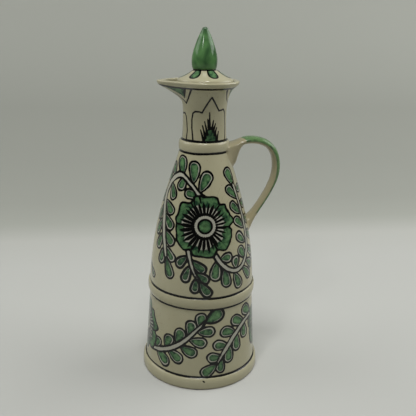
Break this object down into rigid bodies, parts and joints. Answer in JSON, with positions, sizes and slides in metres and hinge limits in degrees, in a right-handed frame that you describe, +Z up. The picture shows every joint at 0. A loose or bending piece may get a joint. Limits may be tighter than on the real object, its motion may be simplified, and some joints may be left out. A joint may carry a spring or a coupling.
{
  "type": "oil dispenser",
  "caption": "Tall glazed stoneware oil jug with a hand-painted floral pattern, a pulled pouring lip, a strap handle and a lift-off domed lid with a bud knob.",
  "frame": {"origin": "centre of the flat underside of the jug, on the turning axis", "axes": "+Z up along the turning axis, -X toward the pouring lip, +X toward the handle"},
  "size_m": [0.1045, 0.0924, 0.2627],
  "materials": {
    "cream_glaze": "glossy clear glaze over cream slip, painted with green and black",
    "green_glaze": "glossy green glaze"
  },
  "bodies": {
    "jug": {"jug_body": "cream_glaze", "neck_with_pouring_lip": "cream_glaze", "strap_handle": "cream_glaze"},
    "lid": {"lid": "cream_glaze", "lid_knob": "green_glaze"}
  },
  "joints": [
    {"name": "lid_lift", "type": "slide", "parent": "jug", "child": "lid", "axis": [0, 0, 1], "range_m": [0, 0.06]}
  ]
}
